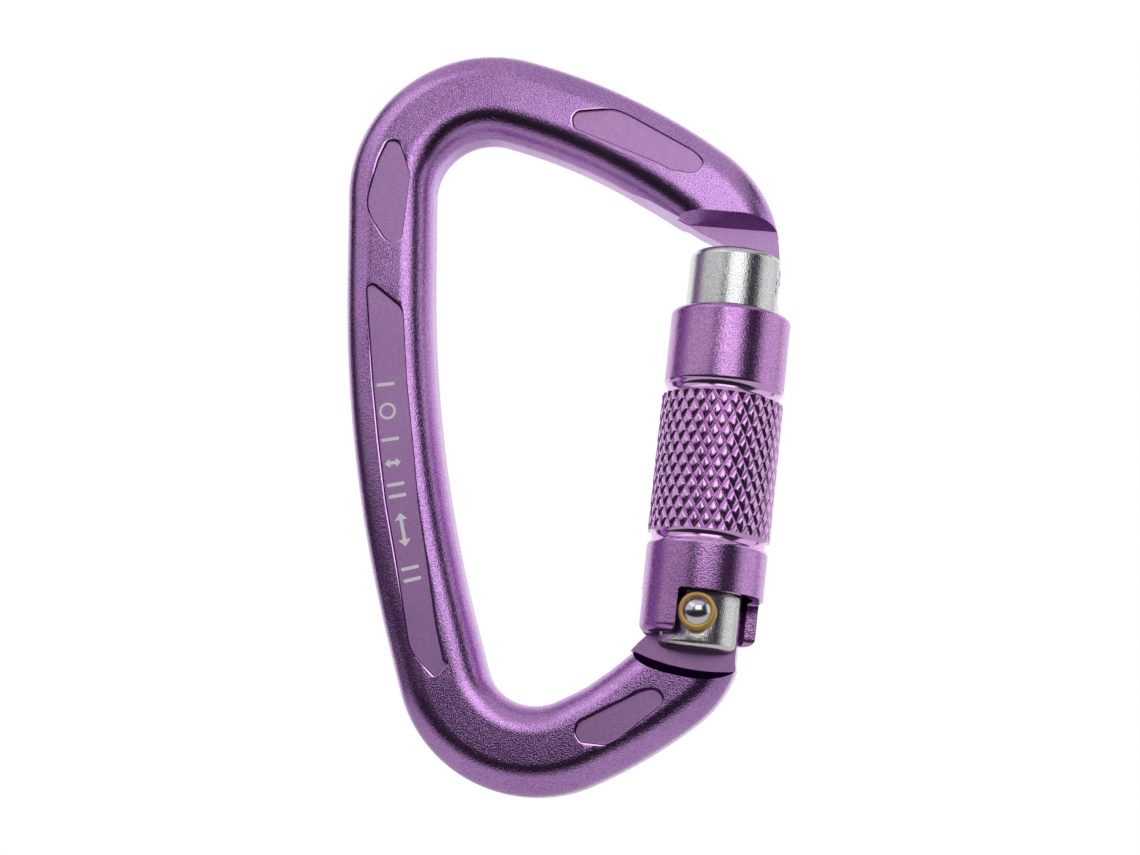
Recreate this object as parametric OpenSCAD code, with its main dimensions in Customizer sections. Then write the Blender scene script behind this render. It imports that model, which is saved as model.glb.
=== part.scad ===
// Locking carabiner with a spring gate and a knurled twist sleeve.
// Origin: centre of the top bend, on the middle plane of the bar. X runs from the spine to the
// gate, Z runs up, and -Y is the front, the side that the hinge rivet's head is on.
// The outline is one chain of tangent arcs and straights, walked from the top of the spine.

/* [Bar] */
// Width of the bar, seen from the front
bar_w = 12.8; // [11.5:0.1:15.4]
// Thickness of the bar from front to back
bar_t = 11.6; // [10:0.1:14]
// Radius that rounds the bar's long edges
bar_round = 4.7; // [3:0.1:4.9]
// Depth of the flat pockets in both faces
pocket_depth = 0.5; // [0.2:0.1:1]
// Width of the pockets
pocket_w = 4.6; // [3:0.1:5]

/* [Outline] */
// Radius of the top bend, at the middle of the bar
top_r = 14.5; // [12:0.1:17.4]
// Angle that the top bend turns through
top_turn = 107.5; // [104:0.5:110]
// Radius of the top arm
arm_r = 85; // [75:1:102]
// Angle that the top arm turns through
arm_turn = 21; // [18:0.5:24]
// Radius of the nose bend
nose_r = 13.5; // [11.5:0.1:16.2]
// Straight length at the top of the spine
spine_top = 13.2; // [6:0.1:30]
// Radius of the spine's long bow
spine_r = 207; // [175:1:248]
// Angle that the bow turns through
spine_turn = 14.7; // [12:0.1:18]
// Straight length at the bottom of the spine
spine_low = 7; // [4:0.1:14]
// Radius of the bottom bend
bottom_r = 13.9; // [12:0.1:16.7]
// Angle from the level to the foot where the bottom bend ends
foot_rise = 22.9; // [20:0.1:26]
// Radius of the foot arc that leads to the hinge
foot_r = 65; // [55:1:78]
// Angle that the foot arc turns through
foot_turn = 14; // [10:0.5:16]
// Radius of the bend below the hinge
hinge_r = 10; // [8.5:0.1:12]
// Angle that the bend below the hinge turns through
hinge_turn = 52; // [48:0.5:56]

/* [Hinge and nose] */
// Thickness of the thin tongues that enter the gate at both ends
tongue_t = 4.2; // [3.4:0.1:5]
// Height of the pin above the end of the bar
pin_rise = 2.2; // [1.5:0.1:3]
// Radius of the hinge pin
pin_r = 1.95; // [1.6:0.05:2.2]
// Radius of the eye round the hinge pin
eye_r = 5.1; // [4.6:0.1:5.4]
// Radius of the milled step below the hinge
step_r = 30; // [24:1:36]
// Depth of that step below the pin
step_drop = 7.8; // [7.6:0.1:9]
// How far the steps slope back for each millimetre of depth
step_slope = 0.42; // [0.3:0.01:0.6]
// Gap between the gate's end and the shoulder of the nose
nose_gap = 3.6; // [2.5:0.1:5]
// Radius of the bead at the tip of the nose
bead_r = 2.7; // [2.4:0.1:2.9]

/* [Gate] */
// Radius of the gate's cap above the sleeve
cap_r = 6.8; // [6.5:0.1:7.2]
// Length of the cap
cap_len = 8.8; // [8.6:0.1:11]
// Radius of the gate inside the sleeve
stem_r = 6; // [5.7:0.1:6.2]
// How far the gate's fork reaches below the pin
fork_drop = 5; // [4.2:0.1:5.2]
// How far the gate's end stands past the end of the nose bend
gate_over = 2.1; // [1.5:0.1:3]
// Angle that the gate opens through
gate_open = 26; // [20:1:26]
// Radius of the plunger
plunger_r = 1.5; // [1.2:0.1:1.8]
// Travel of the plunger when the gate is fully open
plunger_travel = 0.8; // [0.5:0.1:1]

/* [Sleeve] */
// Outer radius of the sleeve
sleeve_r = 8.7; // [8.5:0.1:9.6]
// Wall of the sleeve round the spring
sleeve_wall = 1.5; // [1.3:0.1:1.6]
// How much the knurled band stands proud
knurl_rise = 0.15; // [0.1:0.05:0.3]
// Depth of the two grooves beside the knurled band
groove_depth = 0.5; // [0.3:0.1:0.7]
// Height of each groove
groove_h = 1.9; // [1.5:0.1:2.5]
// Height of the plain collar above the knurl
collar_top = 10.9; // [8:0.1:13]
// Height of the plain collar below the knurl, with its skirt
collar_low = 12.9; // [11:0.1:15]
// How far the skirt reaches below the pin
skirt_drop = 3.2; // [3:0.1:3.6]
// Height of the cut-out's top above the stop ring's edge
cut_rise = 0.3; // [0.2:0.05:1]
// Angle that the sleeve twists through
twist = 95; // [80:1:98]

/* [Clearances] */
// Gap round a turning fit
run_gap = 0.06; // [0.03:0.01:0.1]
// Gap beside the tongues in the gate's slots
side_gap = 0.2; // [0.15:0.05:0.4]
// Gap between the sleeve's rim and the gate's cap
rim_gap = 0.3; // [0.2:0.05:0.5]

/* [Hidden] */
$fn = 96;
FAR = 40;
EPS = 0.02;
// Every second stretch of the bar stands this much proud, and the others lap into it
SEAM = 0.01;
LAP = 0.2;
purple = [0.55, 0.36, 0.62];
silver = [0.80, 0.80, 0.78];
steel = [0.62, 0.63, 0.65];

// --- The outline as a chain. A place is [x, z, heading]; side is 1 for a left turn, -1 for right.
START = [-top_r, 0];
function turned(place, radius, turn, side) =
    let (h = place[2], g = h + side * turn)
    [place[0] + side * radius * (sin(g) - sin(h)), place[1] - side * radius * (cos(g) - cos(h)), g];
function ahead(place, length) =
    [place[0] + length * cos(place[2]), place[1] + length * sin(place[2]), place[2]];

up_0 = [START[0], START[1], 90];
up_1 = turned(up_0, top_r, top_turn, -1);
up_2 = turned(up_1, arm_r, arm_turn, -1);
low_0 = [START[0], START[1], -90];
low_1 = ahead(low_0, spine_top);
low_2 = turned(low_1, spine_r, spine_turn, 1);
low_3 = ahead(low_2, spine_low);
bottom_turn = 90 - spine_turn + foot_rise;
low_4 = turned(low_3, bottom_r, bottom_turn, 1);
low_5 = turned(low_4, foot_r, foot_turn, 1);
low_6 = turned(low_5, hinge_r, hinge_turn, 1);

// The gate's axis runs from the end below the hinge to the end of the nose bend.
nose_turn = 186.6 - top_turn - arm_turn;
up_3 = turned(up_2, nose_r, nose_turn, -1);
axis_run = up_3[0] - low_6[0];
axis_climb = up_3[1] - low_6[1];
lean = atan2(axis_run, axis_climb);
nose_h = norm([axis_run, axis_climb]) - pin_rise;
pin_x = low_6[0] + pin_rise * sin(lean);
pin_z = low_6[1] + pin_rise * cos(lean);

// --- Heights along the gate's axis, measured from the pin.
gate_top = nose_h + gate_over;
cap_low = gate_top - cap_len;
rim_h = cap_low - rim_gap;
shoulder_h = gate_top + nose_gap;
knurl_top = rim_h - collar_top - groove_h;
knurl_low = collar_low - skirt_drop + groove_h;
tongue_half = tongue_t / 2;
slot_half = tongue_half + side_gap;
bead_h = cap_low + 1.3 + bead_r;
bead_chamber_r = bead_r + side_gap;
gate_end_round = 1.2;
tongue_edge = 5.7;

// --- Fits inside the sleeve.
bore_r = sleeve_r - sleeve_wall;
land_h = 6.5;
land_low = rim_h - land_h;
bush_low = 6.6;
bush_h = 3;
ring_h = 0.8;
ring_seat_r = stem_r - 0.5;
wire_r = 0.4;
thin_wire_r = 0.2;
coil_r = (stem_r + bore_r) / 2;
spring_turns = 11;

// --- The plunger rides on a spiral at the top of the eye: its radius grows evenly with angle.
cam_grow = plunger_travel / gate_open;
plunger_low = eye_r + 0.2;
plunger_len = 9;
plunger_bore_h = 27;
slot_top = eye_r + plunger_travel + 0.9;

// --- Stop ring and rivet. The ring stands inside the cut-out's edges, just below the skirt's surface.
ring_r = pin_r + 0.85;
ring_front = sleeve_r - 1.1;
cut_top = ring_r + cut_rise;
ring_back = 5.0;
dome_rise = 0.65;

// Draws children, modelled in the outline's plane with the front face up, in the upright frame.
module upright() {
    rotate([90, 0, 0]) children();
}

// Section of the bar: a rectangle with round edges, as points. Local X is across the bar.
function rounded(width, height, radius, steps) =
    [for (corner = [0 : 3])
        let (across = (corner == 0 || corner == 3 ? 1 : -1) * (width / 2 - radius),
             up = (corner < 2 ? 1 : -1) * (height / 2 - radius))
        for (i = [0 : steps])
            let (a = 90 * corner + 90 * i / steps)
            [across + radius * cos(a), up + radius * sin(a)]];

module bar_section(proud = 0) {
    polygon(rounded(bar_w + 2 * proud, bar_t + 2 * proud, bar_round, 6));
}

// Sweeps the 2D child round a turn that starts at a place. The child's X points away from the
// centre of the turn, and its own origin is on the bar's middle line. Lap runs it on at both ends.
module bend(place, radius, turn, side, lap = 0) {
    h = place[2];
    extra = lap / radius * 180 / PI;
    first = side > 0 ? h - 90 : h - turn + 90;
    translate([place[0] - side * radius * sin(h), place[1] + side * radius * cos(h), 0])
        rotate([0, 0, first - extra])
            rotate_extrude(angle = turn + 2 * extra)
                translate([radius, 0]) children();
}

module straight(place, length, lap = 0) {
    first = ahead(place, -lap);
    translate([first[0], first[1], 0])
        rotate([90, 0, place[2] + 90])
            linear_extrude(height = length + 2 * lap) children();
}

// Section of a pocket cutter for one face. Offset moves it away from the centre of the turn.
module pocket_section(offset, width, face) {
    deep = bar_t / 2 - pocket_depth;
    low = face > 0 ? deep : -deep - 2;
    translate([offset - width / 2, low]) square([width, 2]);
}

// Round end of a pocket at a place on the chain, a hair deeper than the stretch that it ends.
module pocket_end(place, offset, width, face) {
    deep = bar_t / 2 - pocket_depth - SEAM;
    low = face > 0 ? deep : -deep - 2;
    translate([place[0] + offset * sin(place[2]), place[1] - offset * cos(place[2]), low])
        cylinder(r = width / 2, h = 2);
}

module curved_pocket(place, radius, from, to, side, offset, width, face) {
    first = turned(place, radius, from, side);
    bend(first, radius, to - from, side) pocket_section(offset, width, face);
    pocket_end(first, side * offset, width, face);
    pocket_end(turned(place, radius, to, side), side * offset, width, face);
}

module straight_pocket(place, length, width, face) {
    straight(place, length) pocket_section(0, width, face);
    pocket_end(place, 0, width, face);
    pocket_end(ahead(place, length), 0, width, face);
}

module pockets(face) {
    // Corner pocket above the spine
    straight_pocket(ahead(low_0, -4.6), 11, pocket_w - 0.4, face);
    // Long pocket down the spine, which runs on past the end of the bow
    curved_pocket(low_1, spine_r, 1.2, spine_turn + 1.2, 1, 0, pocket_w, face);
    // Pockets in the top arm and in the foot
    curved_pocket(up_1, arm_r, 8, 18.6, -1, 1, pocket_w - 0.6, face);
    curved_pocket(low_4, foot_r, 2.6, 11, 1, 0.4, pocket_w - 0.8, face);
}

// Draws children in the gate's own frame: the pin at the origin, Z along the gate towards the
// nose, X outwards.
module on_gate() {
    translate([pin_x, 0, pin_z]) rotate([0, lean, 0]) children();
}

// Wedge that thins the nose below its sloped shoulder, in the gate's frame.
module nose_relief(face) {
    deep = bar_t;
    rise = (deep - tongue_half) * step_slope;
    outline = [[tongue_half, cap_low - FAR / 2], [deep, cap_low - FAR / 2],
               [deep, shoulder_h + rise], [tongue_half, shoulder_h]];
    translate([-14, 0, 0])
        rotate([90, 0, 90])
            linear_extrude(height = 28)
                mirror([face < 0 ? 1 : 0, 0]) polygon(outline);
}

// Sloped round step that thins the bar below the hinge, in the gate's frame.
module hinge_relief(face) {
    deep = bar_t;
    wide = step_r + (deep - tongue_half) * step_slope;
    centre_h = step_r - step_drop;
    translate([1.5, 0, centre_h])
        rotate([face > 0 ? -90 : 90, 0, 0])
            rotate_extrude()
                polygon([[0, tongue_half], [step_r, tongue_half], [wide, deep], [0, deep]]);
}

// Round-ended tongue round the pin, with the spiral that the plunger rides on.
module hinge_eye() {
    first = -8;
    last = gate_open + 14;
    spiral = [for (a = [first : 2 : last])
              let (r = eye_r + cam_grow * max(0, a + 2)) [-r * sin(a), r * cos(a)]];
    rotate([90, 0, 0]) {
        translate([0, 0, -tongue_half]) cylinder(r = eye_r, h = tongue_t);
        linear_extrude(height = tongue_t, center = true)
            polygon(concat(spiral, [[-eye_r, -3], [0, -3]]));
        // Heel of the tongue, just below the skirt on the inner side
        linear_extrude(height = tongue_t, center = true)
            polygon([[-4, 0], [-6.5, -skirt_drop], [-8, -skirt_drop - 0.25], [-8.5, -5.7], [-4, -6]]);
    }
    translate([-eye_r, -tongue_half, -pin_rise - 1])
        cube([eye_r + tongue_edge, tongue_t, pin_rise + 1]);
}

// Nose tongue: a thin plate inside the gate's slot with a round bead along its tip.
module nose_tongue() {
    root = shoulder_h + 2;
    outer = bar_w / 2 - 0.1;
    reach = nose_r + outer;
    last = asin((root - nose_h) / reach);
    curve = [for (i = [0 : 6]) let (a = last * i / 6)
             [reach * cos(a) - nose_r, nose_h + reach * sin(a)]];
    plate = concat([[-7, root], [-7, shoulder_h - 0.3], [-2.3, gate_top], [-1.4, gate_top - 0.8],
                    [-1.4, bead_h], [outer, bead_h]], curve);
    rotate([90, 0, 0])
        linear_extrude(height = tongue_t, center = true) polygon(plate);
    translate([-1.4, 0, bead_h]) rotate([0, 90, 0]) cylinder(r = bead_r, h = outer + 1.4);
}

module body() color(purple) {
    difference() {
        upright() {
            difference() {
                union() {
                    bend(up_0, top_r, top_turn, -1) bar_section(SEAM);
                    bend(up_1, arm_r, arm_turn, -1, LAP) bar_section();
                    bend(up_2, nose_r, nose_turn, -1) bar_section(SEAM);
                    straight(low_0, spine_top, LAP) bar_section();
                    bend(low_1, spine_r, spine_turn, 1) bar_section(SEAM);
                    straight(low_2, spine_low, LAP) bar_section();
                    bend(low_3, bottom_r, bottom_turn, 1) bar_section(SEAM);
                    bend(low_4, foot_r, foot_turn, 1, LAP) bar_section();
                    bend(low_5, hinge_r, hinge_turn, 1) bar_section(SEAM);
                }
                pockets(1);
                pockets(-1);
            }
        }
        on_gate() {
            for (face = [-1, 1]) {
                nose_relief(face);
                hinge_relief(face);
            }
            // Outer edge below the hinge, drawn in so that it lies inside the gate's fork
            rotate([90, 0, 0])
                linear_extrude(height = bar_t + 2, center = true)
                    polygon([[tongue_edge, 4], [tongue_edge, -6], [bar_w / 2 + 0.2, -11],
                             [FAR / 2, -11], [FAR / 2, 4]]);
            rotate([90, 0, 0]) cylinder(r = pin_r + run_gap, h = FAR, center = true);
            // Room for the gate's end below the nose
            translate([-20, -10, cap_low - 10]) cube([40, 20, shoulder_h - cap_low + 9.9]);
        }
    }
    on_gate() {
        difference() {
            hinge_eye();
            rotate([90, 0, 0]) cylinder(r = pin_r + run_gap, h = FAR, center = true);
        }
        nose_tongue();
    }
}

module gate_barrel() color(silver) on_gate() {
    difference() {
        union() {
            translate([0, 0, -fork_drop]) cylinder(r = stem_r, h = fork_drop + cap_low + EPS);
            translate([0, 0, cap_low])
                rotate_extrude() {
                    square([cap_r, cap_len - gate_end_round]);
                    square([cap_r - gate_end_round, cap_len]);
                    translate([cap_r - gate_end_round, cap_len - gate_end_round])
                        circle(r = gate_end_round);
                }
        }
        // Fork for the hinge tongue
        translate([-FAR / 2, -slot_half, -fork_drop - 1])
            cube([FAR, 2 * slot_half, fork_drop + 1 + slot_top]);
        rotate([90, 0, 0]) cylinder(r = pin_r, h = FAR, center = true);
        // Seat of the stop ring in the front cheek
        rotate([90, 0, 0]) translate([0, 0, ring_back]) cylinder(r = ring_r, h = 4);
        // Slot for the nose, open at the top and on the outer side
        translate([-2.6, -slot_half, bead_h]) cube([FAR / 2, 2 * slot_half, FAR / 2]);
        for (drop = [0, 1])
            translate([-1.8, 0, bead_h - drop])
                rotate([0, 90, 0]) cylinder(r = bead_chamber_r, h = FAR / 2);
        translate([-1.8, -bead_chamber_r, bead_h - 1]) cube([FAR / 2, 2 * bead_chamber_r, 1]);
        // Groove of the retaining ring
        translate([0, 0, bush_low - ring_h - 0.05])
            difference() {
                cylinder(r = stem_r + 1, h = ring_h + 0.05);
                translate([0, 0, -1]) cylinder(r = ring_seat_r, h = ring_h + 3);
            }
        // Bore of the plunger and its spring
        cylinder(r = plunger_r + run_gap, h = plunger_bore_h);
    }
}

module hinge_rivet() color(steel) on_gate() {
    back = sqrt(stem_r * stem_r - pin_r * pin_r);
    dome_r = (pin_r * pin_r + dome_rise * dome_rise) / (2 * dome_rise);
    rotate([90, 0, 0]) {
        translate([0, 0, -back]) cylinder(r = pin_r, h = back + ring_front);
        intersection() {
            translate([0, 0, ring_front + dome_rise - dome_r]) sphere(r = dome_r);
            translate([0, 0, ring_front - EPS]) cylinder(r = pin_r, h = dome_rise + 1);
        }
    }
}

module stop_ring() color([0.78, 0.62, 0.30]) on_gate() {
    rotate([90, 0, 0])
        translate([0, 0, ring_back])
            difference() {
                cylinder(r = ring_r, h = ring_front - ring_back);
                translate([0, 0, -1]) cylinder(r = pin_r, h = ring_front);
            }
}

// Outline of half the sleeve's wall, turned round the gate's axis.
module sleeve_profile() {
    groove_r = sleeve_r - groove_depth;
    knurl_r = sleeve_r + knurl_rise;
    edge = 0.5;
    low = -skirt_drop;
    bevel = 0.25;
    polygon([[bore_r, low], [sleeve_r - 1.2, low], [sleeve_r - 0.35, low + 0.35],
             [sleeve_r, low + 1.2], [sleeve_r, knurl_low - groove_h - bevel],
             [groove_r, knurl_low - groove_h + edge], [groove_r, knurl_low - edge],
             [knurl_r, knurl_low + bevel], [knurl_r, knurl_top - bevel],
             [groove_r, knurl_top + edge], [groove_r, knurl_top + groove_h - edge],
             [sleeve_r, knurl_top + groove_h + bevel], [sleeve_r, rim_h - 0.8],
             [sleeve_r - 0.25, rim_h - 0.25], [sleeve_r - 0.8, rim_h], [stem_r + run_gap, rim_h],
             [stem_r + run_gap, land_low], [bore_r, land_low]]);
}

module locking_sleeve() color([0.62, 0.38, 0.68]) on_gate() {
    clear = ring_r + 0.15;
    far_x = FAR * sin(twist);
    far_y = -FAR * cos(twist);
    edge_x = clear * cos(twist);
    edge_y = clear * sin(twist);
    difference() {
        rotate_extrude() sleeve_profile();
        // Cut-out round the hinge: from one side of the stop ring to the other side, a twist on
        translate([0, 0, -skirt_drop - 1])
            linear_extrude(height = skirt_drop + 1 + cut_top)
                polygon([[-clear, 0], [-clear, -FAR], [FAR, -FAR],
                         [far_x + edge_x, far_y + edge_y], [edge_x, edge_y]]);
        // Narrow slot on the inner side that the hinge tongue passes through
        translate([-FAR / 2, -slot_half, -skirt_drop - 1])
            cube([FAR / 2, 2 * slot_half, skirt_drop + 1 + cut_top]);
    }
}

module sleeve_bush() color([0.12, 0.12, 0.13]) on_gate() {
    translate([0, 0, bush_low])
        difference() {
            cylinder(r = bore_r - run_gap, h = bush_h);
            translate([0, 0, -1]) cylinder(r = stem_r, h = bush_h + 2);
        }
}

// Open snap ring in the groove of the gate; its gap is on the inner side.
module retaining_ring() color(steel) on_gate() {
    translate([0, 0, bush_low - ring_h])
        difference() {
            cylinder(r = stem_r + 0.7, h = ring_h);
            translate([0, 0, -1]) cylinder(r = ring_seat_r, h = ring_h + 2);
            translate([-FAR / 2, -1.2, -1]) cube([FAR / 2, 2.4, ring_h + 2]);
        }
}

// Wire wound round Z: rings of points along a helix, closed at both ends.
module coil(radius, wire, height, turns, around, sides) {
    steps = turns * around;
    pitch = height / turns;
    points = [for (i = [0 : steps]) for (j = [0 : sides - 1])
              let (a = 360 * i / around, b = 360 * j / sides, r = radius + wire * cos(b))
              [r * cos(a), r * sin(a), pitch * i / around + wire * sin(b)]];
    wall = [for (i = [0 : steps - 1]) for (j = [0 : sides - 1])
            let (k = (j + 1) % sides, p = i * sides, q = p + sides)
            [p + j, q + j, q + k, p + k]];
    first = [for (j = [0 : sides - 1]) j];
    last = [for (j = [sides - 1 : -1 : 0]) steps * sides + j];
    polyhedron(points = points, faces = concat(wall, [first, last]));
}

module sleeve_spring() color(steel) on_gate() {
    low = bush_low + bush_h + wire_r + 0.05;
    high = land_low - wire_r - 0.05;
    translate([0, 0, low]) coil(coil_r, wire_r, high - low, spring_turns, 24, 8);
}

module gate_plunger() color(steel) on_gate() {
    translate([0, 0, plunger_low + plunger_r]) {
        sphere(r = plunger_r);
        cylinder(r = plunger_r, h = plunger_len - plunger_r);
    }
}

module gate_spring() color(steel) on_gate() {
    low = plunger_low + plunger_len + thin_wire_r + EPS;
    high = plunger_bore_h - thin_wire_r - EPS;
    translate([0, 0, low]) coil(plunger_r - 0.3, thin_wire_r, high - low, 9, 16, 6);
}

body();
gate_barrel();
hinge_rivet();
stop_ring();
locking_sleeve();
sleeve_bush();
retaining_ring();
sleeve_spring();
gate_plunger();
gate_spring();
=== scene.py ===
"""The looks of a locking carabiner: an anodised bar, a silver gate and a knurled twist sleeve.

Shapes are worked out in millimetres and turned to metres as each piece is finished. Two frames are
used. The object's own frame has X from the spine to the gate, Z up and -Y to the front. The gate's
frame has the hinge pin at its origin, Z along the gate towards the nose and X outwards.
"""
import math

import bmesh
import bpy
from mathutils import Matrix, Vector


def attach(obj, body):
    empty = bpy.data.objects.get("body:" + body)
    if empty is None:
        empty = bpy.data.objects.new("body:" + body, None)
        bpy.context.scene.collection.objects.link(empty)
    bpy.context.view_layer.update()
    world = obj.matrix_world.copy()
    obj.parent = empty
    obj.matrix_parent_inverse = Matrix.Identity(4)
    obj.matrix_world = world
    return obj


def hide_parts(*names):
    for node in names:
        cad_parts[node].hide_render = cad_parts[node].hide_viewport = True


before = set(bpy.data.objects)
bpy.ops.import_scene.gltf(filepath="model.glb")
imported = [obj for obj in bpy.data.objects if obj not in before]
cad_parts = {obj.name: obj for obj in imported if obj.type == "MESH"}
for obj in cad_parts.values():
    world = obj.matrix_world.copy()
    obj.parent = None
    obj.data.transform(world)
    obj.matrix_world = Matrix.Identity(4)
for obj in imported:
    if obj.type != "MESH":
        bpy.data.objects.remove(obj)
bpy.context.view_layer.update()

# --- The bar
BAR_WIDE = 12.8
BAR_THICK = 11.6
BAR_ROUND = 4.4
POCKET_DEEP = 0.5

# --- A length that clears the object's breadth, for cuts that run right through
FAR = 20.0

# --- Material slots of a carved shape, and how straight on a face must look to count as flat
SLOTS = 4
FLOOR_SLOT = 1
RIM_SLOT = 2
# Steep pocket and hinge-step walls take this slot, which holds a near-black purple: painted shade.
PAINTED_SHADE_SLOT = 3
FLAT = 0.99

# --- A pocket's edge, from the face down: how far in, how much deeper, and its slot
POCKET_STEPS = [(0.20, 0.055, RIM_SLOT), (0.14, 0.315, PAINTED_SHADE_SLOT), (0.10, 0.12, RIM_SLOT),
                (0.05, 0.01, FLOOR_SLOT)]

# --- The outline: tangent bends and straights, walked both ways from the top of the spine
TOP_R, TOP_TURN = 14.5, 107.5
ARM_R, ARM_TURN = 85.0, 21.0
NOSE_R = 13.5
SPINE_TOP, SPINE_LOW = 13.2, 7.0
SPINE_R, SPINE_TURN = 207.0, 14.7
BOTTOM_R, FOOT_RISE = 13.9, 22.9
FOOT_R, FOOT_TURN = 65.0, 14.0
HINGE_R, HINGE_TURN = 10.0, 52.0
NOSE_TURN = 186.6 - TOP_TURN - ARM_TURN

# --- Heights along the gate, measured from the pin
PIN_RISE = 2.2
GATE_OVER = 2.1
CAP_LEN = 8.8
RIM_GAP = 0.3
NOSE_GAP = 3.6

# --- Hinge, gate and nose
TONGUE_HALF = 2.1
TONGUE_EDGE = 5.7
SLOT_HALF = 2.3
EYE_R = 5.1
PIN_R = 1.95
STEP_R, STEP_DROP, STEP_SLOPE = 30.0, 7.8, 0.42
BEAD_R = 2.7
CAP_R, STEM_R = 6.8, 6.0
FORK_DROP = 5.0
RING_R, RING_BACK, RING_FRONT = 2.72, 5.0, 7.6

# --- Sleeve
SLEEVE_R, BORE_R = 8.7, 7.2
GROOVE_R = 8.2
COLLAR_TOP, COLLAR_LOW, GROOVE_H = 10.9, 12.9, 1.9
SKIRT_DROP, CUT_RISE = 3.2, 3.1
TWIST = 95.0
KNURL_R = 8.85


# ---------------------------------------------------------------- the outline as a chain of places
def turned(place, radius, turn, side):
    """The place after a bend. A place is x, z and heading in degrees; side is 1 for a left turn."""
    x, z, heading = place
    after = heading + side * turn
    h, g = math.radians(heading), math.radians(after)
    return (x + side * radius * (math.sin(g) - math.sin(h)),
            z - side * radius * (math.cos(g) - math.cos(h)), after)


def ahead(place, length):
    """The place after a straight stretch."""
    x, z, heading = place
    h = math.radians(heading)
    return (x + length * math.cos(h), z + length * math.sin(h), heading)


UP_0 = (-TOP_R, 0.0, 90.0)
UP_1 = turned(UP_0, TOP_R, TOP_TURN, -1)
UP_2 = turned(UP_1, ARM_R, ARM_TURN, -1)
UP_3 = turned(UP_2, NOSE_R, NOSE_TURN, -1)
LOW_0 = (-TOP_R, 0.0, -90.0)
LOW_1 = ahead(LOW_0, SPINE_TOP)
LOW_2 = turned(LOW_1, SPINE_R, SPINE_TURN, 1)
LOW_3 = ahead(LOW_2, SPINE_LOW)
BOTTOM_TURN = 90 - SPINE_TURN + FOOT_RISE
LOW_4 = turned(LOW_3, BOTTOM_R, BOTTOM_TURN, 1)
LOW_5 = turned(LOW_4, FOOT_R, FOOT_TURN, 1)
LOW_6 = turned(LOW_5, HINGE_R, HINGE_TURN, 1)

LEAN = math.atan2(UP_3[0] - LOW_6[0], UP_3[1] - LOW_6[1])
NOSE_H = math.hypot(UP_3[0] - LOW_6[0], UP_3[1] - LOW_6[1]) - PIN_RISE
PIN = Vector((LOW_6[0] + PIN_RISE * math.sin(LEAN), 0, LOW_6[1] + PIN_RISE * math.cos(LEAN)))
GATE = Matrix.Translation(PIN) @ Matrix.Rotation(LEAN, 4, "Y")
GATE_TOP = NOSE_H + GATE_OVER
CAP_LOW = GATE_TOP - CAP_LEN
RIM_H = CAP_LOW - RIM_GAP
SHOULDER_H = GATE_TOP + NOSE_GAP
BEAD_H = CAP_LOW + 1.3 + BEAD_R
KNURL_TOP = RIM_H - COLLAR_TOP - GROOVE_H
KNURL_LOW = COLLAR_LOW - SKIRT_DROP + GROOVE_H


# ---------------------------------------------------------------- shaping helpers
def outline(points, rounds=None, steps=4):
    """A flat face in the XZ plane through the points, with the chosen corners rounded."""
    bm = bmesh.new()
    corners = [bm.verts.new((x, 0, z)) for x, z in points]
    bm.faces.new(corners)
    for corner, size in (rounds or {}).items():
        bmesh.ops.bevel(bm, geom=[corners[corner]], offset=size, offset_type="OFFSET", segments=steps,
                        profile=0.5, affect="VERTICES", material=-1)
    return bm


def extruded(bm, along):
    """The flat shape made a solid by moving a copy of its face along a vector."""
    grown = bmesh.ops.extrude_face_region(bm, geom=bm.faces[:], use_keep_orig=True)
    moved = [item for item in grown["geom"] if isinstance(item, bmesh.types.BMVert)]
    bmesh.ops.translate(bm, verts=moved, vec=along)
    bmesh.ops.recalc_face_normals(bm, faces=bm.faces[:])
    return bm


def revolved(bm, steps):
    """The outline in the XZ plane turned right round Z. Its points on the axis become closed poles."""
    bmesh.ops.delete(bm, geom=bm.faces[:], context="FACES_ONLY")
    inner = [edge for edge in bm.edges if all(abs(corner.co.x) < 1e-6 for corner in edge.verts)]
    bmesh.ops.delete(bm, geom=inner, context="EDGES")
    bmesh.ops.spin(bm, geom=bm.edges[:], cent=(0, 0, 0), axis=(0, 0, 1), angle=2 * math.pi,
                   steps=steps, use_merge=True)
    bmesh.ops.remove_doubles(bm, verts=bm.verts[:], dist=1e-4)
    bmesh.ops.recalc_face_normals(bm, faces=bm.faces[:])
    return bm


def cylinder(radius, low, high, axis="Z", steps=64):
    """A cylinder along an axis between two distances from the origin."""
    bm = bmesh.new()
    place = Matrix.Translation((0, 0, (low + high) / 2))
    if axis == "Y":
        place = Matrix.Rotation(math.radians(-90), 4, "X") @ place
    if axis == "X":
        place = Matrix.Rotation(math.radians(90), 4, "Y") @ place
    bmesh.ops.create_cone(bm, cap_ends=True, segments=steps, radius1=radius, radius2=radius,
                          depth=high - low, matrix=place)
    return bm


def block(low, high):
    """A box between two corners."""
    bm = bmesh.new()
    size = Vector(high) - Vector(low)
    middle = (Vector(high) + Vector(low)) / 2
    bmesh.ops.create_cube(bm, size=1, matrix=Matrix.Translation(middle) @ Matrix.Diagonal((*size, 1)))
    return bm


def moved(bm, place):
    """The shape after a transform."""
    bmesh.ops.transform(bm, matrix=place, verts=bm.verts[:])
    if place.determinant() < 0:
        bmesh.ops.reverse_faces(bm, faces=bm.faces[:])
    return bm


def marked(bm, slot, chosen=None):
    """The shape with a material slot set on its faces, or on the ones that the test picks."""
    for face in bm.faces:
        if chosen is None or chosen(face):
            face.material_index = slot
    return bm


def joined(first, second):
    """Two shapes kept as separate shells in one mesh."""
    mesh = bpy.data.meshes.new("shell")
    second.to_mesh(mesh)
    first.from_mesh(mesh)
    bpy.data.meshes.remove(mesh)
    return first


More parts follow.
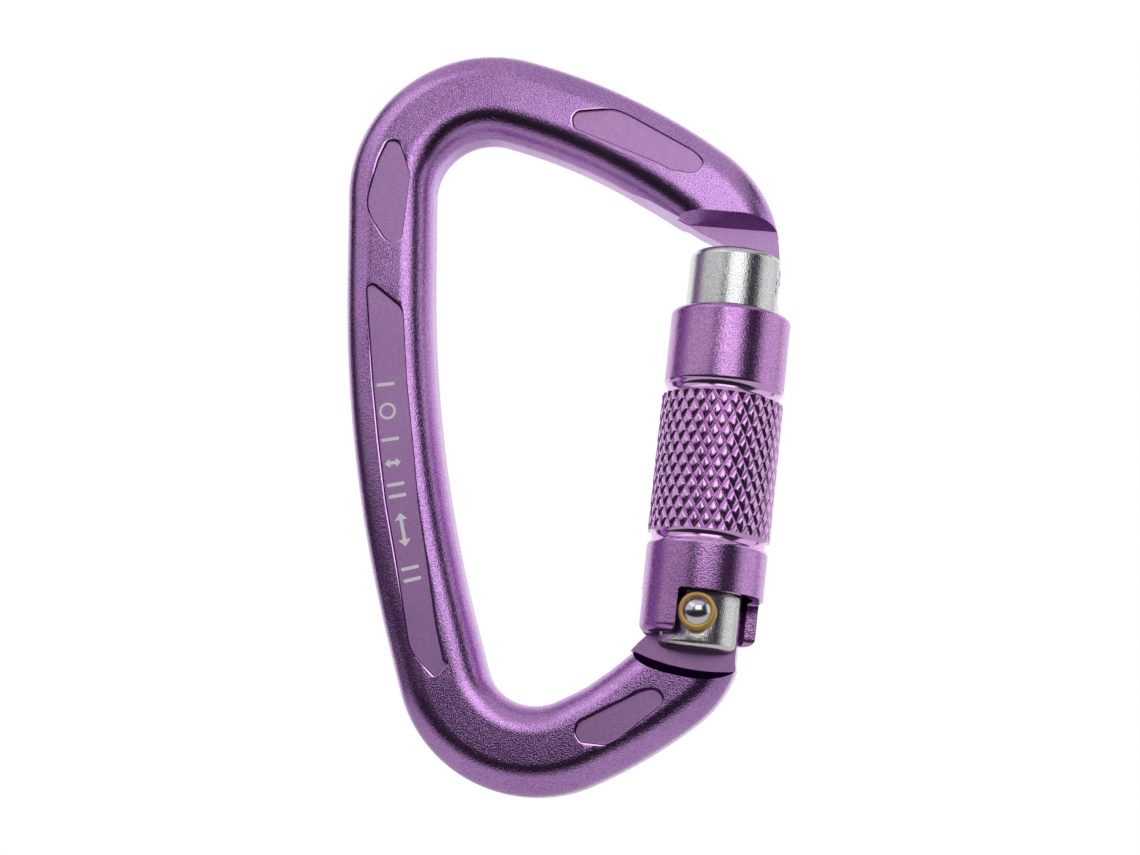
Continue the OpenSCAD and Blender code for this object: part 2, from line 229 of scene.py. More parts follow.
def as_object(bm, name):
    mesh = bpy.data.meshes.new(name)
    bm.to_mesh(mesh)
    bm.free()
    piece = bpy.data.objects.new(name, mesh)
    bpy.context.scene.collection.objects.link(piece)
    return piece


def carved(bm, tools, operation="DIFFERENCE"):
    """The shape after each tool is cut away from it, or added to it. Faces keep their tool's slot."""
    work = as_object(bm, "work")
    cutters = [as_object(tool, "tool") for tool in tools]
    for item in [work] + cutters:
        for slot in range(SLOTS):
            item.data.materials.append(None)
    for cutter in cutters:
        step = work.modifiers.new("carve", "BOOLEAN")
        step.operation = operation
        step.solver = "EXACT"
        step.object = cutter
    seen = work.evaluated_get(bpy.context.evaluated_depsgraph_get())
    result = bmesh.new()
    result.from_mesh(seen.to_mesh())
    for item in [work] + cutters:
        mesh = item.data
        bpy.data.objects.remove(item)
        bpy.data.meshes.remove(mesh)
    bmesh.ops.remove_doubles(result, verts=result.verts[:], dist=1e-4)
    return result


def softened(bm, size, angle=35, segments=2):
    """Rounds every edge sharper than the angle."""
    sharp = [edge for edge in bm.edges if edge.is_manifold
             and edge.calc_face_angle(0) > math.radians(angle)]
    bmesh.ops.bevel(bm, geom=sharp, offset=size, offset_type="OFFSET", segments=segments,
                    profile=0.5, affect="EDGES", clamp_overlap=True, material=-1)
    return bm


def finished(bm, name, body, materials, nodes=(), crease=38):
    """Makes the shape a piece of the object: in metres, smooth shaded, riding on its body."""
    bmesh.ops.scale(bm, vec=(0.001, 0.001, 0.001), verts=bm.verts[:])
    for face in bm.faces:
        face.smooth = True
    for edge in bm.edges:
        edge.smooth = edge.calc_face_angle(0) < math.radians(crease)
    piece = as_object(bm, name)
    for material in materials:
        piece.data.materials.append(material)
    weighted = piece.modifiers.new("weighted normals", "WEIGHTED_NORMAL")
    weighted.keep_sharp = True
    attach(piece, body)
    if nodes:
        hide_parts(*nodes)
    return piece


# ---------------------------------------------------------------- shader helpers
class Value:
    """A socket that takes part in arithmetic."""

    def __init__(self, tree, socket):
        self.tree = tree
        self.socket = socket

    def _math(self, operation, first, second):
        node = self.tree.nodes.new("ShaderNodeMath")
        node.operation = operation
        for place, item in enumerate((first, second)):
            if isinstance(item, Value):
                self.tree.links.new(item.socket, node.inputs[place])
            else:
                node.inputs[place].default_value = item
        return Value(self.tree, node.outputs[0])

    def __add__(self, other):
        return self._math("ADD", self, other)

    def __mul__(self, other):
        return self._math("MULTIPLY", self, other)

    __radd__ = __add__
    __rmul__ = __mul__


class Finish:
    """A material and the nodes that make it."""

    def __init__(self, name):
        self.material = bpy.data.materials.new(name)
        self.material.use_nodes = True
        self.tree = self.material.node_tree
        self.surface = self.tree.nodes["Principled BSDF"]
        coordinates = self.tree.nodes.new("ShaderNodeTexCoord")
        self.place = Value(self.tree, coordinates.outputs["Object"])

    def node(self, kind, settings, output, **inputs):
        """Adds a node: its settings first, then the values or links of its sockets."""
        node = self.tree.nodes.new(kind)
        for key, value in settings.items():
            if key == "stops":
                ramp = node.color_ramp
                for stop, (position, color) in enumerate(value):
                    if stop >= len(ramp.elements):
                        ramp.elements.new(position)
                    ramp.elements[stop].position = position
                    ramp.elements[stop].color = color
            else:
                setattr(node, key, value)
        for key, value in inputs.items():
            self.put(node.inputs[key.replace("_", " ")], value)
        return Value(self.tree, node.outputs[output])

    def put(self, socket, value):
        if isinstance(value, Value):
            self.tree.links.new(value.socket, socket)
        else:
            socket.default_value = value

    def noise(self, scale, detail=2.0, rough=0.5):
        return self.node("ShaderNodeTexNoise", {}, "Fac", Vector=self.place, Scale=scale, Detail=detail,
                         Roughness=rough)

    def shade(self, **inputs):
        for key, value in inputs.items():
            self.put(self.surface.inputs[key.replace("_", " ")], value)
        return self.material


def metal(name, color, dark, rough, grain, grain_size, edge=1.0):
    """A blasted metal skin: fine grain in relief, and a gentle change of tone over the surface.

    Edge dims the reflection at a grazing angle, where the metal would otherwise turn white; below 1 this
    dimming is painted shade.
    """
    spread = 0.05
    finish = Finish(name)
    fine = finish.noise(1 / (grain_size * 0.001), 1.5, 0.6)
    broad = finish.noise(90, 3.0)
    stops = [(0.38, (*dark, 1)), (0.62, (*color, 1))]
    tone = finish.node("ShaderNodeValToRGB", {"stops": stops}, "Color", Fac=broad * 0.25 + fine * 0.75)
    bumped = finish.node("ShaderNodeBump", {}, "Normal", Strength=grain, Distance=grain_size * 0.0003,
                         Height=fine)
    # Specular tint below 1 darkens the grazing reflection: painted shade.
    return finish.shade(Base_Color=tone, Metallic=1.0, Roughness=broad * spread + (rough - spread / 2),
                        Specular_Tint=(edge, edge, edge, 1), Normal=bumped)


def plastic(name, color, rough):
    """A moulded plastic with a faint orange peel."""
    finish = Finish(name)
    peel = finish.noise(2500, 2.0)
    bumped = finish.node("ShaderNodeBump", {}, "Normal", Strength=0.2, Distance=0.00002, Height=peel)
    return finish.shade(Base_Color=(*color, 1), Roughness=peel * 0.1 + rough, Normal=bumped)


PURPLE = metal("satin purple anodising", (0.72, 0.40, 0.81), (0.40, 0.20, 0.52),
               0.17, 0.7, 0.20)
FLOOR_PURPLE = metal("matt purple anodising", (0.66, 0.38, 0.73), (0.55, 0.31, 0.62),
                     0.42, 0.3, 0.20)
SLEEVE_PURPLE = metal("sleeve anodising", (0.76, 0.41, 0.79), (0.43, 0.21, 0.53),
                      0.17, 0.6, 0.20)
BRIGHT_PURPLE = metal("polished purple anodising", (0.84, 0.54, 0.88), (0.74, 0.44, 0.80),
                      0.06, 0.3, 0.05)
# Painted shade: a near-black purple with a dimmed grazing reflection on the steep pocket and hinge-step
# walls, standing in for the shadowed parts they reflect.
SHADED_STEP_PURPLE = metal("milled step in painted shade", (0.13, 0.05, 0.15), (0.09, 0.03, 0.11),
                    0.16, 0.3, 0.1, edge=0.25)
KNURL_PURPLE = metal("knurl anodising", (0.88, 0.54, 0.90), (0.68, 0.38, 0.75),
                     0.12, 0.3, 0.12)
SILVER = metal("satin silver", (0.88, 0.88, 0.84), (0.62, 0.64, 0.65),
               0.17, 0.6, 0.20)
BRIGHT_SILVER = metal("bright silver", (0.92, 0.91, 0.88), (0.80, 0.80, 0.78),
                      0.24, 0.5, 0.20)
STEEL = metal("polished steel", (0.80, 0.80, 0.82), (0.72, 0.72, 0.74),
              0.15, 0.3, 0.05)
WIRE = metal("drawn spring wire", (0.50, 0.50, 0.52), (0.38, 0.38, 0.40),
             0.25, 0.2, 0.1)
BRASS = metal("turned brass", (0.80, 0.52, 0.17), (0.70, 0.44, 0.13),
              0.42, 0.2, 0.1)
ACETAL = plastic("black acetal", (0.02, 0.02, 0.022), 0.42)
LASER_WHITE = plastic("laser mark white", (0.95, 0.93, 0.95), 0.6)


# ---------------------------------------------------------------- the body
def bent(bm, ring, place, radius, turn, side, steps):
    """Sweeps a ring of edges round a bend and returns the last ring."""
    x, z, heading = place
    h = math.radians(heading)
    centre = (x - side * radius * math.sin(h), 0, z + side * radius * math.cos(h))
    made = bmesh.ops.spin(bm, geom=ring, cent=centre, axis=(0, -side, 0), angle=math.radians(turn),
                          steps=steps, use_merge=False)
    return [item for item in made["geom_last"] if isinstance(item, bmesh.types.BMEdge)]


def drawn(bm, ring, place, length):
    """Sweeps a ring of edges straight on and returns the last ring."""
    end = ahead(place, length)
    made = bmesh.ops.extrude_edge_only(bm, edges=ring)
    points = [item for item in made["geom"] if isinstance(item, bmesh.types.BMVert)]
    bmesh.ops.translate(bm, verts=points, vec=(end[0] - place[0], 0, end[1] - place[1]))
    return [item for item in made["geom"] if isinstance(item, bmesh.types.BMEdge)
            and item.verts[0] in points and item.verts[1] in points]


def bar():
    """The round-edged bar, swept both ways from the top of the spine."""
    bm = bmesh.new()
    bmesh.ops.create_grid(bm, x_segments=1, y_segments=1, size=1)
    bmesh.ops.scale(bm, vec=(BAR_WIDE / 2, BAR_THICK / 2, 1), verts=bm.verts[:])
    bmesh.ops.bevel(bm, geom=bm.verts[:], offset=BAR_ROUND, offset_type="OFFSET", segments=14,
                    profile=0.5, affect="VERTICES", material=-1)
    bmesh.ops.translate(bm, verts=bm.verts[:], vec=(UP_0[0], 0, 0))
    bmesh.ops.delete(bm, geom=bm.faces[:], context="FACES_ONLY")
    first = bm.edges[:]
    up = bent(bm, first, UP_0, TOP_R, TOP_TURN, -1, 54)
    up = bent(bm, up, UP_1, ARM_R, ARM_TURN, -1, 24)
    up = bent(bm, up, UP_2, NOSE_R, NOSE_TURN, -1, 28)
    low = drawn(bm, first, LOW_0, SPINE_TOP)
    low = bent(bm, low, LOW_1, SPINE_R, SPINE_TURN, 1, 26)
    low = drawn(bm, low, LOW_2, SPINE_LOW)
    low = bent(bm, low, LOW_3, BOTTOM_R, BOTTOM_TURN, 1, 50)
    low = bent(bm, low, LOW_4, FOOT_R, FOOT_TURN, 1, 12)
    low = bent(bm, low, LOW_5, HINGE_R, HINGE_TURN, 1, 26)
    for ring in (up, low):
        bmesh.ops.contextual_create(bm, geom=ring)
    bmesh.ops.recalc_face_normals(bm, faces=bm.faces[:])
    return bm


CORNER_POCKET = [(-14.7, 7.5), (-12.4, 7.3), (-10.7, 1.9), (-11.9, -8.4), (-13.7, -8.9), (-14.9, -8.0),
                 (-17.5, -3.9), (-17.7, -1.5), (-16.1, 4.4)]
SPINE_POCKET = [(-17.6, -15.0), (-16.2, -14.4), (-11.5, -18.4), (-10.8, -29.3), (-9.8, -38.4),
                (-8.9, -47.3), (-7.5, -56.1), (-6.1, -65.3), (-5.0, -70.1), (-4.2, -70.7), (-6.4, -73.0),
                (-10.4, -68.9), (-12.6, -55.7), (-14.2, -47.2), (-15.4, -38.2), (-16.4, -29.2)]
ARM_POCKET = [(12.8, 9.7), (13.7, 10.9), (19.1, 11.1), (21.0, 10.5), (31.5, 4.1), (32.9, 2.2),
              (31.9, 0.6), (30.5, 0.3), (27.4, 1.0), (25.3, 2.2), (13.1, 7.9)]
FOOT_POCKET = [(13.7, -79.0), (23.0, -74.5), (25.0, -74.3), (26.3, -75.7), (25.9, -76.9), (19.3, -82.0),
               (17.9, -82.65), (14.1, -82.2), (13.1, -80.7)]
POCKETS = [(CORNER_POCKET, {0: 0.9, 1: 0.9, 3: 0.8, 4: 0.6, 5: 0.5, 6: 1.2, 7: 1.0}),
           (SPINE_POCKET, {0: 0.5, 1: 0.6, 2: 1.0, 9: 0.4, 10: 0.7, 11: 1.5}),
           (ARM_POCKET, {0: 0.5, 1: 0.6, 2: 0.8, 3: 0.8, 4: 1.0, 5: 0.8, 6: 0.7, 7: 0.6, 10: 0.7}),
           (FOOT_POCKET, {0: 0.5, 1: 0.9, 2: 0.7, 3: 0.6, 4: 0.4, 5: 0.8, 6: 0.6, 7: 0.5, 8: 0.7})]


def pocket_tool(points, rounds, face):
    """A cutter for one pocket: a flared rim, a steep wall in painted shade and a flat floor."""
    bm = outline(points, rounds)
    bmesh.ops.translate(bm, verts=bm.verts[:], vec=(0, -BAR_THICK / 2 - 1, 0))
    top = bm.faces[:]
    grown = bmesh.ops.extrude_face_region(bm, geom=top, use_keep_orig=True)
    points = [item for item in grown["geom"] if isinstance(item, bmesh.types.BMVert)]
    bmesh.ops.translate(bm, verts=points, vec=(0, 1, 0))
    bmesh.ops.recalc_face_normals(bm, faces=bm.faces[:])
    floor = [item for item in grown["geom"] if isinstance(item, bmesh.types.BMFace)]
    for inwards, deeper, slot in POCKET_STEPS:
        rim = bmesh.ops.inset_region(bm, faces=floor, thickness=inwards, depth=deeper,
                                     use_even_offset=True)["faces"]
        marked(bm, slot, lambda item: item in rim)
    marked(bm, FLOOR_SLOT, lambda item: item in floor)
    if face > 0:
        moved(bm, Matrix.Scale(-1, 4, (0, 1, 0)))
    return bm


def nose_relief(face):
    """Thins the nose under a sloped shoulder, in the gate's frame."""
    deep = BAR_THICK
    outer = 14
    rise = (deep - TONGUE_HALF) * STEP_SLOPE
    points = [(TONGUE_HALF, CAP_LOW - FAR), (deep, CAP_LOW - FAR), (deep, SHOULDER_H + rise),
              (TONGUE_HALF, SHOULDER_H)]
    bm = extruded(outline(points), (0, 2 * outer, 0))
    marked(bm, FLOOR_SLOT, lambda item: item.normal.x < -FLAT)
    turn = Matrix.Rotation(math.radians(90), 4, "Z")
    place = Matrix.Translation((outer, 0, 0)) @ turn
    if face < 0:
        place = Matrix.Scale(-1, 4, (0, 1, 0)) @ place
    return moved(bm, GATE @ place)


def hinge_relief(face):
    """Sloped round step below the hinge, in the gate's frame."""
    deep = BAR_THICK
    middle = 1.5
    wide = STEP_R + (deep - TONGUE_HALF) * STEP_SLOPE
    bm = bmesh.new()
    place = Matrix.Translation((0, 0, (deep + TONGUE_HALF) / 2))
    bmesh.ops.create_cone(bm, cap_ends=True, segments=256, radius1=STEP_R, radius2=wide,
                          depth=deep - TONGUE_HALF, matrix=place)
    # The step's sloped wall takes the near-black purple of painted shade.
    marked(bm, PAINTED_SHADE_SLOT)
    marked(bm, FLOOR_SLOT, lambda item: item.normal.z < -FLAT)
    turn = Matrix.Rotation(math.radians(-90 * face), 4, "X")
    return moved(bm, GATE @ Matrix.Translation((middle, 0, STEP_R - STEP_DROP)) @ turn)


def plate(points, half, rounds=None):
    """A flat plate in the gate's frame, centred on the middle plane."""
    bm = extruded(outline(points, rounds), (0, 2 * half, 0))
    marked(bm, FLOOR_SLOT, lambda item: abs(item.normal.y) > FLAT)
    return moved(bm, GATE @ Matrix.Translation((0, -half, 0)))


def nose_tongue():
    """The plate that enters the gate's slot, with the bead along its tip."""
    root = SHOULDER_H + 2
    outer = BAR_WIDE / 2 - 0.1
    reach = NOSE_R + outer
    last = math.asin((root - NOSE_H) / reach)
    curve = [(reach * math.cos(last * i / 6) - NOSE_R, NOSE_H + reach * math.sin(last * i / 6))
             for i in range(7)]
    points = [(-7, root), (-9.2, 57.8), (-7.3, 56.9), (-5.8, 56.1), (-2.6, 54.8), (-1.6, 54.1),
              (-1.4, GATE_TOP - 1.2), (-1.4, BEAD_H), (outer, BEAD_H)] + curve
    bead = moved(cylinder(BEAD_R, -1.4, outer, "X"), GATE @ Matrix.Translation((0, 0, BEAD_H)))
    return [plate(points, TONGUE_HALF), bead]


def hinge_tongue():
    """The plate round the pin, whose heel fills the slot in the skirt."""
    eye = moved(cylinder(EYE_R, -TONGUE_HALF, TONGUE_HALF, "Y"), GATE)
    heel = [(-4, 0), (-6.5, -3.25), (-7.1, -3.45), (-8.3, -4.8), (-9.2, -6), (-4, -7), (TONGUE_EDGE, -7),
            (TONGUE_EDGE, 0), (0, 3)]
    return [eye, plate(heel, TONGUE_HALF)]


def hinge_fill():
    """Fills the tight inner side of the bend below the hinge, with the bar's own rounding."""
    inner = [(-18, -14.2), (-14.6, -11.45), (-11.9, -9.15), (-9.3, -6.6), (-7.85, -4.95), (-6.8, -3.6)]
    half = BAR_THICK / 2 - 0.01
    bm = extruded(outline(inner + [(-2, -7), (-9, -15.5)]), (0, 2 * half, 0))
    run = [edge for edge in bm.edges if edge.verts[0].co.y == edge.verts[1].co.y
           and all(corner.co.z > corner.co.x for corner in edge.verts)]
    bmesh.ops.bevel(bm, geom=run, offset=BAR_ROUND, offset_type="OFFSET", segments=12, profile=0.5,
                    affect="EDGES", clamp_overlap=True, material=-1)
    return moved(bm, GATE @ Matrix.Translation((0, -half, 0)))


def nose_trim():
    """Carries the straight inner side of the arm on to the nose tongue."""
    points = [(-17.5, 61.6), (-13.7, 60.15), (-9, 57.8), (-5.5, 56.1), (-5.5, 50), (-20, 50)]
    bm = extruded(outline(points), (0, BAR_THICK + 2, 0))
    return moved(bm, GATE @ Matrix.Translation((0, -BAR_THICK / 2 - 1, 0)))


def make_body():
    """The bar with its pockets, its thinned nose and its thinned hinge end."""
    cuts = [pocket_tool(points, rounds, face) for points, rounds in POCKETS for face in (-1, 1)]
    cuts += [tool(face) for tool in (nose_relief, hinge_relief) for face in (-1, 1)]
    deep = BAR_THICK / 2 + 1
    edge = [(TONGUE_EDGE, 4), (TONGUE_EDGE, -6), (BAR_WIDE / 2 + 0.2, -11), (20, -11), (20, 4)]
    cuts += [marked(plate(edge, deep), 0), nose_trim()]
    cuts.append(moved(block((-20, -10, CAP_LOW - 10), (20, 10, SHOULDER_H - 0.1)), GATE))
    bm = carved(bar(), [hinge_fill()], "UNION")
    bm = carved(bm, cuts)
    bm = carved(bm, nose_tongue() + hinge_tongue(), "UNION")
    return finished(bm, "bar_body", "body", [PURPLE, FLOOR_PURPLE, BRIGHT_PURPLE, SHADED_STEP_PURPLE],
                    ["body"], crease=30)


# ---------------------------------------------------------------- the sleeve
def sleeve_shell():
    """The turned sleeve without its knurling."""
    low = -SKIRT_DROP
    points = [(BORE_R, low), (SLEEVE_R, low), (SLEEVE_R, KNURL_LOW - GROOVE_H + 0.1),
              (GROOVE_R, KNURL_LOW - GROOVE_H + 0.6), (GROOVE_R, KNURL_LOW - 0.4),
              (KNURL_R - 0.35, KNURL_LOW), (KNURL_R - 0.35, KNURL_TOP), (GROOVE_R, KNURL_TOP + 0.4),
              (GROOVE_R, KNURL_TOP + GROOVE_H - 0.6), (SLEEVE_R, KNURL_TOP + GROOVE_H - 0.1),
              (SLEEVE_R, RIM_H), (STEM_R + 0.06, RIM_H), (STEM_R + 0.06, RIM_H - 6.5),
              (BORE_R, RIM_H - 6.5)]
    rounds = {0: 0.2, 1: 1.2, 2: 0.35, 3: 0.5, 4: 0.4, 7: 0.4, 8: 0.5, 9: 0.35, 10: 0.8, 11: 0.3}
    return revolved(outline(points, rounds, 5), 128)


def skirt_tool(side):
    """One end of the cut-out in the skirt, with a rounded lower corner on the tab beside it."""
    clear = RING_R + 0.15
    low = -SKIRT_DROP
    points = [(-clear, CUT_RISE), (-clear, low), (-clear - 1.2, low - 0.02), (-clear - 1.2, low - 2),
              (12, low - 2), (12, CUT_RISE)]
    bm = extruded(outline(points, {0: 0.5, 1: 1.15}, 6), (0, -12, 0))
    if side < 0:
        return bm
    mirror = Matrix.Scale(-1, 4, (1, 0, 0))
    return moved(bm, Matrix.Rotation(math.radians(TWIST), 4, "Z") @ mirror)


def knurl():
    """The knurled band: rows of raised diamonds round the sleeve."""
    around, tall = 30, 3.15
    wide = 2 * math.pi * KNURL_R / around
    bm = bmesh.new()
    sunk, side = 0.9, 0.5
    facets = [(0.14, 0.18), (0.16, 0.13), (0.16, 0.06)]
    base = KNURL_R - sunk
    corners = [bm.verts.new(point) for point in ((base, -wide / 2, 0), (base, 0, -tall / 2),
                                                 (base, wide / 2, 0), (base, 0, tall / 2))]
    bm.faces.new(corners)
    grown = bmesh.ops.extrude_face_region(bm, geom=bm.faces[:], use_keep_orig=True)
    points = [item for item in grown["geom"] if isinstance(item, bmesh.types.BMVert)]
    bmesh.ops.translate(bm, verts=points, vec=(side, 0, 0))
    bmesh.ops.recalc_face_normals(bm, faces=bm.faces[:])
    top = [item for item in grown["geom"] if isinstance(item, bmesh.types.BMFace)]
    for inwards, higher in facets:
        bmesh.ops.inset_region(bm, faces=top, thickness=inwards, depth=higher, use_even_offset=True)
    one = bm.verts[:] + bm.edges[:] + bm.faces[:]
    rows = math.ceil((KNURL_TOP - KNURL_LOW) / tall * 2) + 1
    middle = (KNURL_TOP + KNURL_LOW) / 2
    for row in range(rows):
        height = middle + (row - (rows - 1) / 2) * tall / 2
        for column in range(around):
            turn = 2 * math.pi * (column + (row % 2) / 2) / around
            copy = bmesh.ops.duplicate(bm, geom=one)["geom"]
            points = [item for item in copy if isinstance(item, bmesh.types.BMVert)]
            place = Matrix.Rotation(turn, 4, "Z") @ Matrix.Translation((0, 0, height))
            bmesh.ops.transform(bm, matrix=place, verts=points)
    bmesh.ops.delete(bm, geom=[item for item in one if isinstance(item, bmesh.types.BMVert)],
                     context="VERTS")
    for height, way in ((KNURL_LOW, -1), (KNURL_TOP, 1)):
        bmesh.ops.bisect_plane(bm, geom=bm.verts[:] + bm.edges[:] + bm.faces[:], dist=1e-4,
                               plane_co=(0, 0, height), plane_no=(0, 0, way), clear_outer=True)
    rims = [edge for edge in bm.edges if edge.is_boundary]
    bmesh.ops.holes_fill(bm, edges=rims, sides=0)
    return bm


def make_sleeve():
    """The twist sleeve: collars, polished grooves, knurled band and the cut-out at the hinge."""
    inner_slot = block((-12, -SLOT_HALF, -SKIRT_DROP - 1), (0, SLOT_HALF, CUT_RISE))
    bm = carved(sleeve_shell(), [skirt_tool(-1), skirt_tool(1), inner_slot])
    for face in bm.faces:
        middle = face.calc_center_median()
        out = math.hypot(middle.x, middle.y)
        grooves = ((KNURL_LOW - GROOVE_H, KNURL_LOW), (KNURL_TOP, KNURL_TOP + GROOVE_H))
        polished = out > BORE_R + 0.4 and any(low < middle.z < high for low, high in grooves)
        face.material_index = 1 if polished else 0
    shell_faces = len(bm.faces)
    bm = joined(bm, knurl())
    bm.faces.ensure_lookup_table()
    for face in bm.faces[shell_faces:]:
        face.material_index = 2
    moved(bm, GATE)
    return finished(bm, "knurled_sleeve", "sleeve",
                    [SLEEVE_PURPLE, BRIGHT_PURPLE, KNURL_PURPLE], ["locking_sleeve"], crease=28)


# ---------------------------------------------------------------- the gate and its small pieces
def make_gate():
    """The gate: round cap with a keyhole slot for the nose, stem, and the fork at the hinge."""
    fork_top, slot_back, chamber_back = 6.8, 2.6, 1.8
    points = [(0, -FORK_DROP), (STEM_R, -FORK_DROP), (STEM_R, CAP_LOW), (CAP_R, CAP_LOW),
              (CAP_R, GATE_TOP), (0, GATE_TOP)]
    bm = revolved(outline(points, {1: 1.0, 3: 0.15, 4: 1.25}, 6), 128)
    chamber = BEAD_R + 0.2
    cuts = [block((-FAR, -SLOT_HALF, -FORK_DROP - 1), (FAR, SLOT_HALF, fork_top)),
            block((-slot_back, -SLOT_HALF, BEAD_H), (FAR, SLOT_HALF, 80)),
            moved(cylinder(chamber, -chamber_back, FAR, "X"), Matrix.Translation((0, 0, BEAD_H))),
            cylinder(RING_R, -9, -RING_BACK, "Y"),
            cylinder(PIN_R, -FAR, FAR, "Y")]
    bm = carved(bm, cuts)
    softened(bm, 0.3, 50, 3)
    for face in bm.faces:
        face.material_index = 1 if face.calc_center_median().z < CUT_RISE + 2 else 0
    moved(bm, GATE)
    return finished(bm, "gate_shell", "gate", [SILVER, BRIGHT_SILVER], ["gate_barrel"])


def make_rivet():
    """The hinge pin with its polished domed head."""
    back, rise = 5.67, 0.95
    dome = (PIN_R * PIN_R + rise * rise) / (2 * rise)
    steps = 12
    spread = math.asin(PIN_R / dome)
    centre = RING_FRONT + rise - dome
    turns = [spread * i / steps for i in range(steps, 0, -1)]
    arc = [(dome * math.sin(turn), centre + dome * math.cos(turn)) for turn in turns]
    points = [(0, -back), (PIN_R, -back)] + arc + [(0, RING_FRONT + rise)]
    bm = revolved(outline(points, {1: 0.3}), 64)
    moved(bm, GATE @ Matrix.Rotation(math.radians(90), 4, "X"))
    return finished(bm, "domed_rivet", "gate", [STEEL], ["hinge_rivet"])


def make_stop_ring():
    """The brass ring round the rivet's head."""
    points = [(PIN_R, RING_BACK), (RING_R, RING_BACK), (RING_R, RING_FRONT), (PIN_R, RING_FRONT)]
    bm = revolved(outline(points, {2: 0.18, 3: 0.12}, 3), 96)
    moved(bm, GATE @ Matrix.Rotation(math.radians(90), 4, "X"))
    return finished(bm, "brass_stop_ring", "gate", [BRASS], ["stop_ring"])


# ---------------------------------------------------------------- marks in the spine's pocket
def mark_at(shape, distance, across=0.0):
    """Puts a flat mark on the pocket's floor at a distance down the spine's bow."""
    place = turned(LOW_1, SPINE_R, math.degrees(distance / SPINE_R), 1)
    floor = -(BAR_THICK / 2 - POCKET_DEEP) - 0.02
    turn = Matrix.Rotation(math.radians(-place[2] - 90), 4, "Y")
    at = Matrix.Translation((place[0], floor, place[1]))
    return moved(shape, at @ turn @ Matrix.Translation((across, 0, 0)))


def stroke(wide, tall):
    """A short bar with round ends, across the pocket when it is wide."""
    points = [(-wide / 2, -tall / 2), (wide / 2, -tall / 2), (wide / 2, tall / 2), (-wide / 2, tall / 2)]
    size = min(wide, tall) * 0.3
    return extruded(outline(points, dict.fromkeys(range(4), size), 3), (0, 0.06, 0))


def double_arrow(length, head):
    """A line with a head at both ends, along the spine."""
    thin = 0.26
    neck = length / 2 - head * 1.1
    points = [(0, length / 2), (-head, neck), (-thin, neck), (-thin, -neck), (-head, -neck),
              (0, -length / 2), (head, -neck), (thin, -neck), (thin, neck), (head, neck)]
    return extruded(outline(points), (0, 0.06, 0))


def hoop(radius, line):
    """A plain flat ring."""
    points = [(radius - line, 0), (radius, 0), (radius, 0.06), (radius - line, 0.06)]
    return moved(revolved(outline(points), 32), Matrix.Rotation(math.radians(-90), 4, "X"))


def make_marks():
    """Plain marks for strength along, across and with the gate open: no letters and no figures."""
    middle = -0.45
    across = Matrix.Rotation(math.radians(90), 4, "Y")
    shapes = [(double_arrow(5.0, 0.95), 38.2), (moved(double_arrow(2.4, 0.7), across), 28.3),
              (hoop(1.25, 0.38), 20.6)]
    shapes += [(stroke(2.6, 0.5), spot) for spot in (45.6, 43.9, 33.2, 31.5, 24.8, 16.6)]
    bm = bmesh.new()
    for shape, spot in shapes:
        joined(bm, mark_at(shape, spot, middle))
    return finished(bm, "spine_marks", "body", [LASER_WHITE])


# ---------------------------------------------------------------- studio
CENTRE = Vector((0.012157, 0, -0.035765))


def outward(azimuth, elevation):
    """A direction. Azimuth 0 is in front of the object and 90 is on its gate side."""
    a, e = math.radians(azimuth), math.radians(elevation)
    return Vector((math.sin(a) * math.cos(e), -math.cos(a) * math.cos(e), math.sin(e)))


def aim(item, target):
    way = Vector(target) - item.location
    item.rotation_euler = way.to_track_quat("-Z", "Y").to_euler()


def softbox(name, azimuth, elevation, wide, tall, glow, distance=1.0):
    """A soft light of even glow, at a distance from the object's centre and turned towards it."""
    light = bpy.data.lights.new(name, "AREA")
    light.shape = "RECTANGLE"
    light.size = wide
    light.size_y = tall
    light.energy = glow * math.pi * wide * tall
    lamp = bpy.data.objects.new(name, light)
    lamp.visible_camera = False
    lamp.location = CENTRE + distance * outward(azimuth, elevation)
    bpy.context.scene.collection.objects.link(lamp)
    aim(lamp, CENTRE)


def ground(name, size, place, paint, shade, rough):
    """A flat square under the object, which is part of the studio only."""
    bm = bmesh.new()
    bmesh.ops.create_grid(bm, x_segments=1, y_segments=1, size=size)
    bmesh.ops.translate(bm, verts=bm.verts[:], vec=place)
    item = as_object(bm, name)
    item.data.materials.append(Finish(paint).shade(Base_Color=(shade, shade, shade, 1), Roughness=rough))
    return item


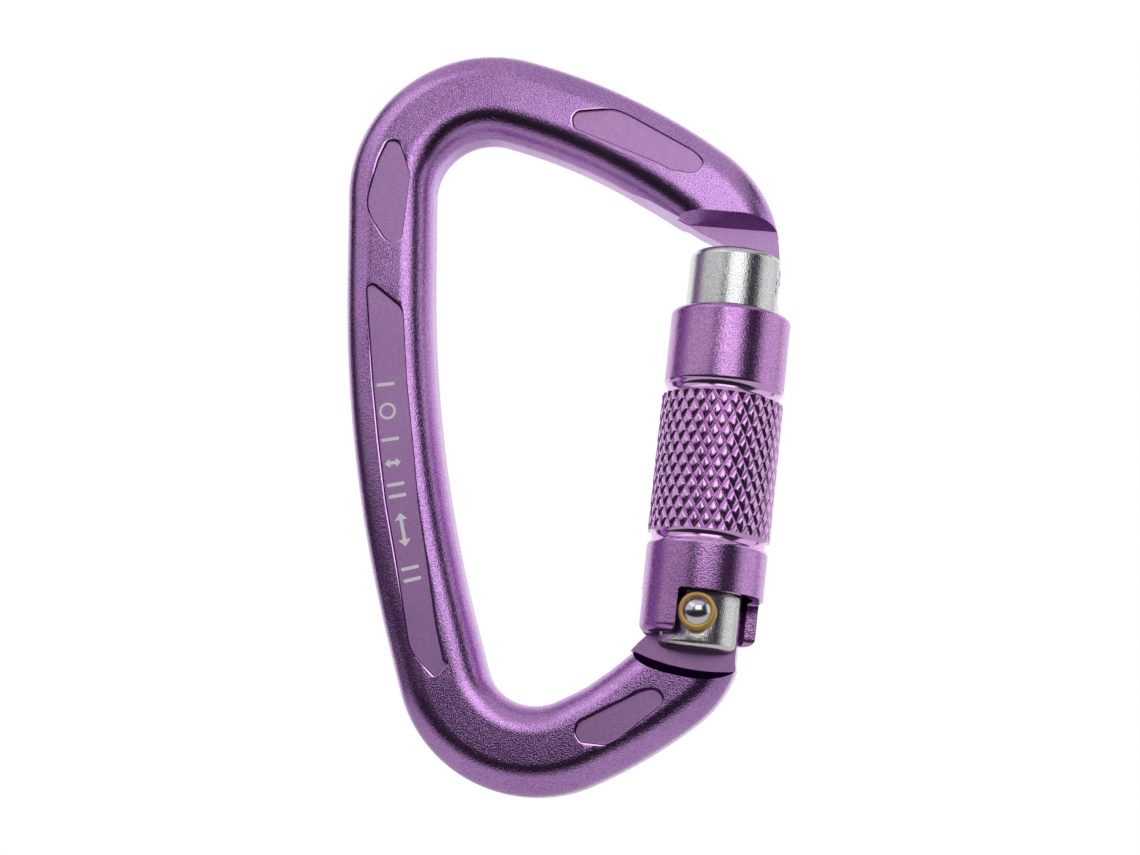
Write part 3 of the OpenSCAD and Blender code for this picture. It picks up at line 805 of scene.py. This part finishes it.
def studio():
    """A white surround, a pale floor, soft lights all round and a dark sheet for contrast."""
    scene = bpy.context.scene
    scene.view_settings.view_transform = "Standard"
    world = bpy.data.worlds.new("studio")
    world.use_nodes = True
    scene.world = world
    tree = world.node_tree
    sky = tree.nodes["Background"]
    sky.inputs["Color"].default_value = (0.055, 0.045, 0.065, 1)
    paper = tree.nodes.new("ShaderNodeBackground")
    paper.inputs["Color"].default_value = (1, 1, 1, 1)
    path = tree.nodes.new("ShaderNodeLightPath")
    mix = tree.nodes.new("ShaderNodeMixShader")
    tree.links.new(path.outputs["Is Camera Ray"], mix.inputs["Fac"])
    tree.links.new(sky.outputs[0], mix.inputs[1])
    tree.links.new(paper.outputs[0], mix.inputs[2])
    tree.links.new(mix.outputs[0], tree.nodes["World Output"].inputs["Surface"])

    softbox("front light", 12, 18, 0.31, 0.20, 1.35, distance=0.42)
    softbox("left light", -54, 29, 1.15, 0.80, 0.56)
    softbox("side fill", 94, 5, 0.90, 1.3, 0.75)
    softbox("white sweep", 180, 12, 2.9, 2.0, 0.95)
    softbox("overhead fill", 0, 76, 1.8, 2.0, 0.52)

    ground("studio_floor", 0.88, (0, 0, -0.2), "pale floor", 0.8, 0.8)
    sheet = ground("dark_sheet", 1, (0, -1.14, -0.19), "dark cloth", 0.01, 0.9)
    sheet.visible_camera = False
    sheet.visible_diffuse = False
    sheet.visible_shadow = False


def camera():
    """The camera stands a little to the gate's side and below the middle, looking up."""
    lens = bpy.data.cameras.new("camera")
    lens.sensor_width = 36
    lens.lens = 78.95
    item = bpy.data.objects.new("camera", lens)
    item.location = CENTRE + 0.365 * outward(6.5, -11.6)
    bpy.context.scene.collection.objects.link(item)
    aim(item, CENTRE)
    bpy.context.scene.camera = item


def dress(node, material):
    """Gives a CAD node its finish."""
    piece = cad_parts[node]
    piece.data.materials.clear()
    piece.data.materials.append(material)


camera()
studio()
make_body()
make_sleeve()
make_gate()
make_rivet()
make_stop_ring()
make_marks()
dress("sleeve_bush", ACETAL)
dress("retaining_ring", WIRE)
dress("sleeve_spring", WIRE)
dress("gate_spring", WIRE)
dress("gate_plunger", STEEL)
